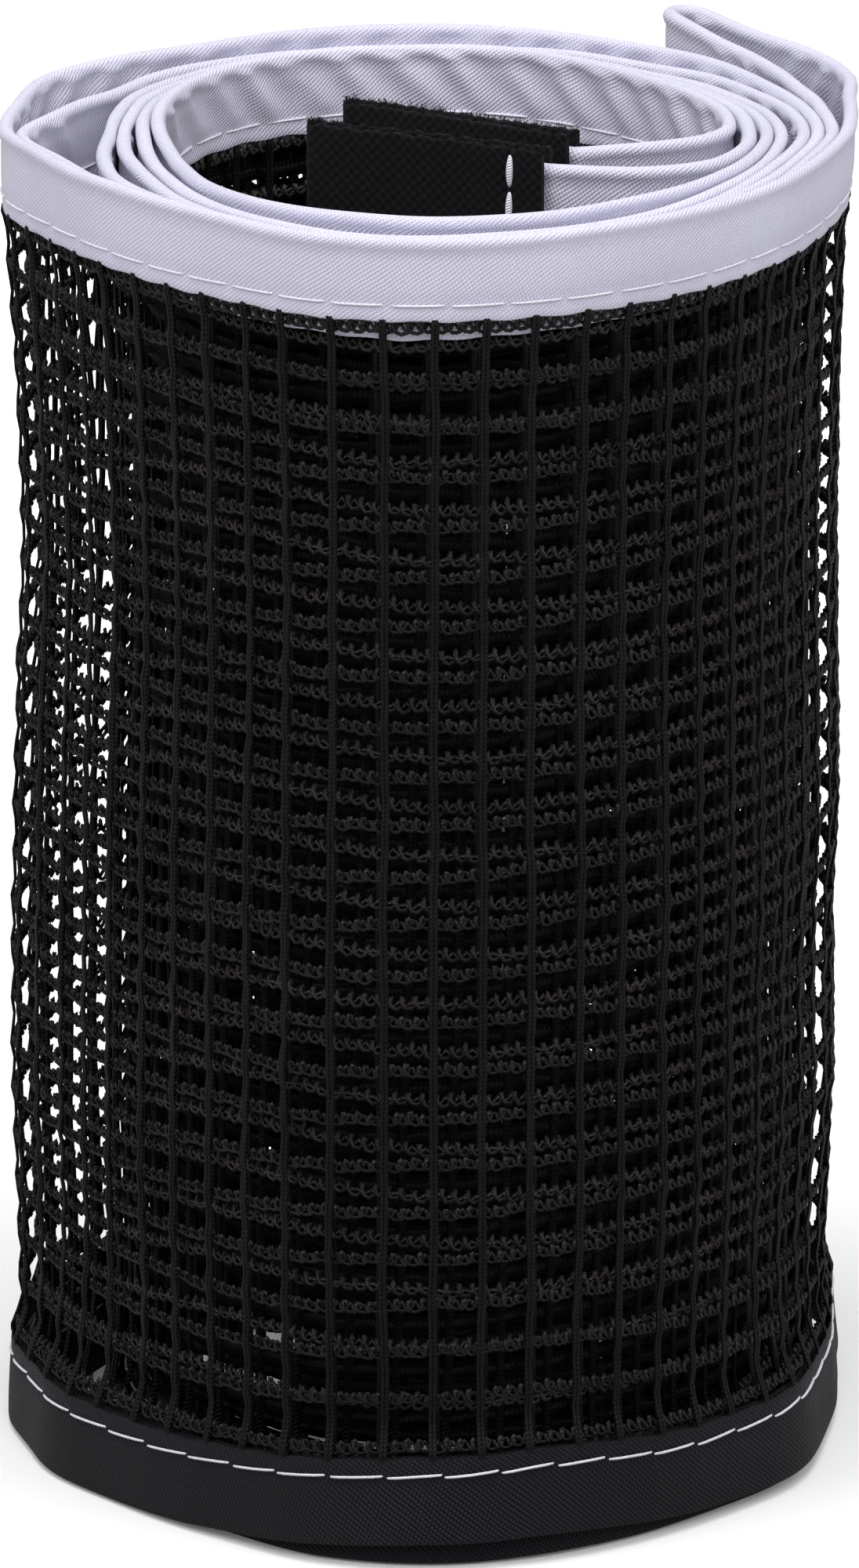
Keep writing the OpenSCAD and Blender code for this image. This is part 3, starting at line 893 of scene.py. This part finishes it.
def yarn(name, dark, light, roughness, sheen, twist, depth, specular=0.5, inlay=1.0):
    """Multifilament yarn, its filaments wound along the tube.

    inlay below 1 darkens inlay yarn, and the plain level deep inside the roll more as painted
    shade, by their marks on the map; yarn marked as shaded is brightened as painted light.
    """
    shader = Shader(name)
    u, v, _ = shader.weave_map()
    wind = shader.weighed(u, 1.0 / twist, v, 0.1)
    filaments = shader.sine(wind, period=1 / 3)
    coords = shader.object_coords()
    patch = shader.noise(coords, scale=900.0, detail=3)
    wide = shader.noise(coords, scale=60.0, detail=3)
    # colour darker between the filaments as painted shade, with patches of tone
    shade = shader.math("ADD", shader.math("MULTIPLY", filaments, 0.14),
                        shader.weighed(patch, 0.5, wide, 0.5))
    if inlay < 1:
        # v in millimetres: inlay above 50, the plain level above 150, shaded below -50
        # mask of the inlay yarn's darker tone and of the plain level deep inside the roll,
        # darkened more as painted shade
        inlay_tone_and_deep_shade = shader.math("ADD", shader.math("GREATER_THAN", v, 50.0), shader.math(
            "MULTIPLY", shader.math("GREATER_THAN", v, 150.0), 0.4))
        shaded = shader.math("LESS_THAN", v, -50.0)
        keep = shader.math("SUBTRACT", 1.0, shader.math("MULTIPLY", inlay_tone_and_deep_shade, 1.0 - inlay))
        shade = shader.math("MULTIPLY", shade, keep)
        # painted light: colour gain for yarn marked as shaded, in the shade of the outer layer
        painted_light_gain = shader.scaled(shaded, factor=1.9, plus=1.0)
        duller = shader.math("MULTIPLY", inlay_tone_and_deep_shade, specular * (1.0 - inlay))
        shader.connect(shader.math("SUBTRACT", specular, duller),
                       shader.surface["Specular IOR Level"])
    color = shader.ramp(shade, (0.25, dark), (0.80, light))
    if inlay < 1:
        # painted light: yarn in the shade of the outer layer is brightened in its colour
        brighten = shader.node("VectorMath")
        brighten.operation = "SCALE"
        shader.connect(color, brighten.inputs[0])
        shader.connect(painted_light_gain, brighten.inputs["Scale"])
        color = brighten.outputs[0]
    return shader.cloth(
        color=color, height=filaments, depth=depth,
        roughness=shader.scaled(patch, factor=0.25, plus=roughness - 0.12),
        sheen=sheen, sheen_roughness=0.35, specular=specular)


def webbing(name, dark, light, thread=0.62):
    """Basket weave with fibre fuzz."""
    shader = Shader(name)
    u, v, weave = shader.weave_map()
    basket = shader.math("MULTIPLY", shader.sine(u, thread * 2), shader.sine(v, thread * 2))
    slanted = shader.math("ADD", u, shader.math("MULTIPLY", v, 0.6))
    ticks = shader.sine(slanted, period=0.17)
    height = shader.weighed(basket, 0.8, ticks, 0.2)
    fuzz = shader.noise(weave, scale=30.0, detail=4)
    # colour darker in the low parts of the weave as painted shade, with fuzz of tone
    shade = shader.weighed(height, 0.25, fuzz, 0.9)
    return shader.cloth(
        color=shader.ramp(shade, (0.2, dark), (0.85, light)), height=height, depth=0.00012,
        roughness=shader.scaled(fuzz, factor=0.2, plus=0.68),
        sheen=0.03, sheen_roughness=0.5, specular=0.10)


WHITE = twill("white_twill", dark=(0.475, 0.464, 0.578), light=(0.725, 0.711, 0.850),
              roughness=0.62, sheen=0.06, pitch=0.41, depth=0.00006, specular=0.3,
              sheen_tint=(0.9, 0.9, 1.0))
DARK = twill("dark_twill", dark=(0.0006, 0.0005, 0.0012), light=(0.0160, 0.0142, 0.0210),
             roughness=0.44, sheen=0.02, pitch=0.46, depth=0.00022, specular=0.16)
NET = yarn("net_yarn", dark=(0.0009, 0.0006, 0.0006), light=(0.0195, 0.0155, 0.0158),
           roughness=0.46, sheen=0.02, twist=1.6, depth=0.00003, specular=0.27, inlay=0.60)
THREAD = yarn("white_thread", dark=(0.74, 0.73, 0.84), light=(0.93, 0.92, 0.99),
              roughness=0.42, sheen=0.1, twist=0.9, depth=0.00003)
CORD = yarn("cord_yarn", dark=(0.56, 0.55, 0.52), light=(0.76, 0.75, 0.72),
            roughness=0.7, sheen=0.1, twist=1.2, depth=0.00004)
WEB = webbing("black_webbing", dark=(0.0010, 0.0009, 0.0014), light=(0.0150, 0.0140, 0.0175))

# ---------------------------------------------------------------- pieces
FOLDS = 6
FOLD_TURNS = [960 + 22.5 * k for k in range(FOLDS)]
BEFORE_FOLDS, AFTER_FOLDS = 10.5, 10.0  # strip beyond the first and last fold line that goes in the fold pieces
ROLL_CUTS = (200, 430, 660, 770, 850)  # turns at which the rolled netting is cut
END = 9.0  # the part of the strip at each end that goes in the end pieces
OUTER_FOLDS = [outer_along(turn) for turn in FOLD_TURNS]
INNER_FOLDS = [inner_along(turn) for turn in FOLD_TURNS]


def midpoints(values):
    return [(a + b) / 2 for a, b in zip(values, values[1:])]


# the pieces are cut halfway between the fold lines
OUTER_CUTS = [OUTER_FOLDS[0] - BEFORE_FOLDS, *midpoints(OUTER_FOLDS),
              OUTER_FOLDS[-1] + AFTER_FOLDS]
INNER_CUTS = [INNER_FOLDS[0] + BEFORE_FOLDS, *midpoints(INNER_FOLDS),
              INNER_FOLDS[-1] - AFTER_FOLDS]

# kind: builder of the parts between two lengths, material, slot
KINDS = {
    "netting": (netting, NET, "netting_yarn"),
    "top_tape": (top_tape, WHITE, "white_tape"),
    "bottom_tape": (bottom_tape, DARK, "dark_tape"),
    "cord": (cord, CORD, "tension_cord"),
    "top_stitching": (partial(stitches, height=144.6, fill=0.462, slant=0.06, seed=1000,
                              wave_seed=24), THREAD, "thread"),
    "bottom_stitching": (partial(stitches, height=7.1, fill=0.488, slant=0.20, seed=3000,
                                 wave_seed=61), THREAD, "thread"),
}


def dress(piece, material):
    piece.data.materials.append(material)
    return piece


def strip_piece(kind, suffix, *spans):
    build, material, slot = KINDS[kind]
    parts = [part for span in spans for part in build(*span)]
    return dress(make_mesh(f"{kind}_{suffix}", parts), material)


def blend(piece):
    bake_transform(piece)


def build_roll(kind):
    """The rolled core; the netting is cut so that no piece is too heavy."""
    turns = ROLL_CUTS if kind == "netting" else ()
    outer = [END] + [outer_along(turn) for turn in turns] + [OUTER_CUTS[0]]
    inner = [LENGTH - END] + [inner_along(turn) for turn in turns] + [INNER_CUTS[0]]
    for i in range(len(turns) + 1):
        suffix = f"roll_{i + 1}" if turns else "roll"
        piece = strip_piece(kind, suffix, (outer[i], outer[i + 1]), (inner[i + 1], inner[i]))
        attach(piece, "roll")
        if i == 0:
            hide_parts(f"{kind}_core")


def build_fold(kind, k):
    """Both layers over one fold line, between the two links."""
    piece = strip_piece(kind, f"fold_{k + 1}", (OUTER_CUTS[k], OUTER_CUTS[k + 1]),
                        (INNER_CUTS[k + 1], INNER_CUTS[k]))
    blend(piece)
    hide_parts(f"{kind}_flap_{k + 1}")


def build_end(kind, which, span, root, far):
    """An end of the strip, where it runs into its sleeve."""
    piece = strip_piece(kind, f"{which}_end", span)
    start = strip_xy(far, STRIP_POINT)
    start = start + (root - start) * 0.12
    blend(piece)


for kind in KINDS:
    build_roll(kind)
    for k in range(FOLDS):
        build_fold(kind, k)
    bight = strip_piece(kind, "bight", (OUTER_CUTS[-1], INNER_CUTS[-1]))
    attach(bight, f"flap_{FOLDS}")
    build_end(kind, "front", (-TUCK + 0.5, END), FRONT_ROOT, END)
    build_end(kind, "rear", (LENGTH - END, LENGTH + TUCK - 0.5), REAR_ROOT, LENGTH - END)

for which, root, ahead, seed, first in (("front", FRONT_ROOT, FRONT_HEADING, 71, 0),
                                        ("rear", REAR_ROOT, REAR_HEADING, 83, 1)):
    link = f"{which}_sleeve"
    loop = dress(sleeve(f"{link}_webbing", root, ahead, seed), WEB)
    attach(loop, link)
    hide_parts(link)
    seam = dress(sleeve_seam(f"{link}_thread", root, ahead, seed, first), THREAD)
    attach(seam, link)
    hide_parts(f"{link}_stitching")


# ---------------------------------------------------------------- stage
def floor_material():
    """Stays pale away from the roll, and throws only part of its light back up."""
    shader = Shader("floor_pale")
    shader.surface["Roughness"].default_value = 0.9
    shader.surface["Specular IOR Level"].default_value = 0.1
    shader.surface["Emission Color"].default_value = (1, 1, 1, 1)
    seen = shader.node("LightPath").outputs["Is Camera Ray"]
    tone = shader.node("Mix")
    tone.data_type = "RGBA"
    shader.connect(seen, tone.inputs["Factor"])
    tone.inputs[6].default_value = (0.42, 0.42, 0.42, 1)  # as it lights the roll
    tone.inputs[7].default_value = (0.90, 0.90, 0.90, 1)  # as the camera sees it
    shader.connect(tone.outputs[2], shader.surface["Base Color"])
    distance = shader.node("VectorMath")
    distance.operation = "LENGTH"
    shader.connect(shader.object_coords(), distance.inputs[0])
    # glow by distance from the middle, in metres
    glow = shader.node("MapRange")
    glow.interpolation_type = "SMOOTHSTEP"
    for key, value in {"From Min": 0.10, "From Max": 0.75, "To Min": 0.07,
                       "To Max": 0.80}.items():
        glow.inputs[key].default_value = value
    shader.connect(distance.outputs["Value"], glow.inputs["Value"])
    share = shader.scaled(seen, factor=0.7, plus=0.3)
    shader.connect(shader.math("MULTIPLY", glow.outputs["Result"], share),
                   shader.surface["Emission Strength"])
    return shader.material


def add_floor(half=12.0, drop=0.0002):
    mesh = bpy.data.meshes.new("floor")
    corners = [(-half, -half, 0), (half, -half, 0), (half, half, 0), (-half, half, 0)]
    mesh.from_pydata(corners, [], [(0, 1, 2, 3)])
    floor = bpy.data.objects.new("floor", mesh)
    bpy.context.scene.collection.objects.link(floor)
    floor.location = (0, 0, -drop)
    mesh.materials.append(floor_material())


def add_world(strength):
    world = bpy.data.worlds.new("studio")
    bpy.context.scene.world = world
    world.use_nodes = True
    background = world.node_tree.nodes["Background"]
    background.inputs[0].default_value = (1.0, 1.0, 1.0, 1)
    background.inputs[1].default_value = strength


def aim(thing, location, direction):
    thing.location = location
    thing.rotation_mode = "QUATERNION"
    thing.rotation_quaternion = direction.to_track_quat("-Z", "Y")


def softbox(name, location, size, power, target=(0, 0, 0.08)):
    light = bpy.data.lights.new(name, "AREA")
    light.shape = "RECTANGLE"
    light.size, light.size_y = size
    light.energy = power
    lamp = bpy.data.objects.new(name, light)
    bpy.context.scene.collection.objects.link(lamp)
    aim(lamp, location, Vector(target) - Vector(location))


def add_camera(elevation, distance, lens):
    """Looks from the front and above at half the roll's height."""
    data = bpy.data.cameras.new("camera")
    camera = bpy.data.objects.new("camera", data)
    bpy.context.scene.collection.objects.link(camera)
    target = Vector((-CENTER[0] * MM, -CENTER[1] * MM, HEIGHT / 2 * MM))
    back = Vector((0, -math.cos(elevation), math.sin(elevation)))
    aim(camera, target + back * distance, -back)
    data.sensor_fit = "AUTO"
    data.sensor_width = 36.0
    data.lens = lens
    data.clip_start, data.clip_end = 0.05, 60
    bpy.context.scene.camera = camera


add_floor()
add_world(strength=0.27)
softbox("left", location=(-0.85, -0.45, 0.75), size=(0.6, 0.8), power=5.6)
softbox("right", location=(0.85, -0.45, 0.65), size=(0.6, 0.8), power=4.1)
softbox("top", location=(0.0, -0.12, 1.2), size=(0.9, 0.9), power=11.0)
softbox("front", location=(0.15, -1.15, 1.05), size=(0.8, 0.6), power=4.6)
add_camera(elevation=math.radians(17.0), distance=1.5, lens=305.91)
bpy.context.scene.view_settings.view_transform = "Standard"
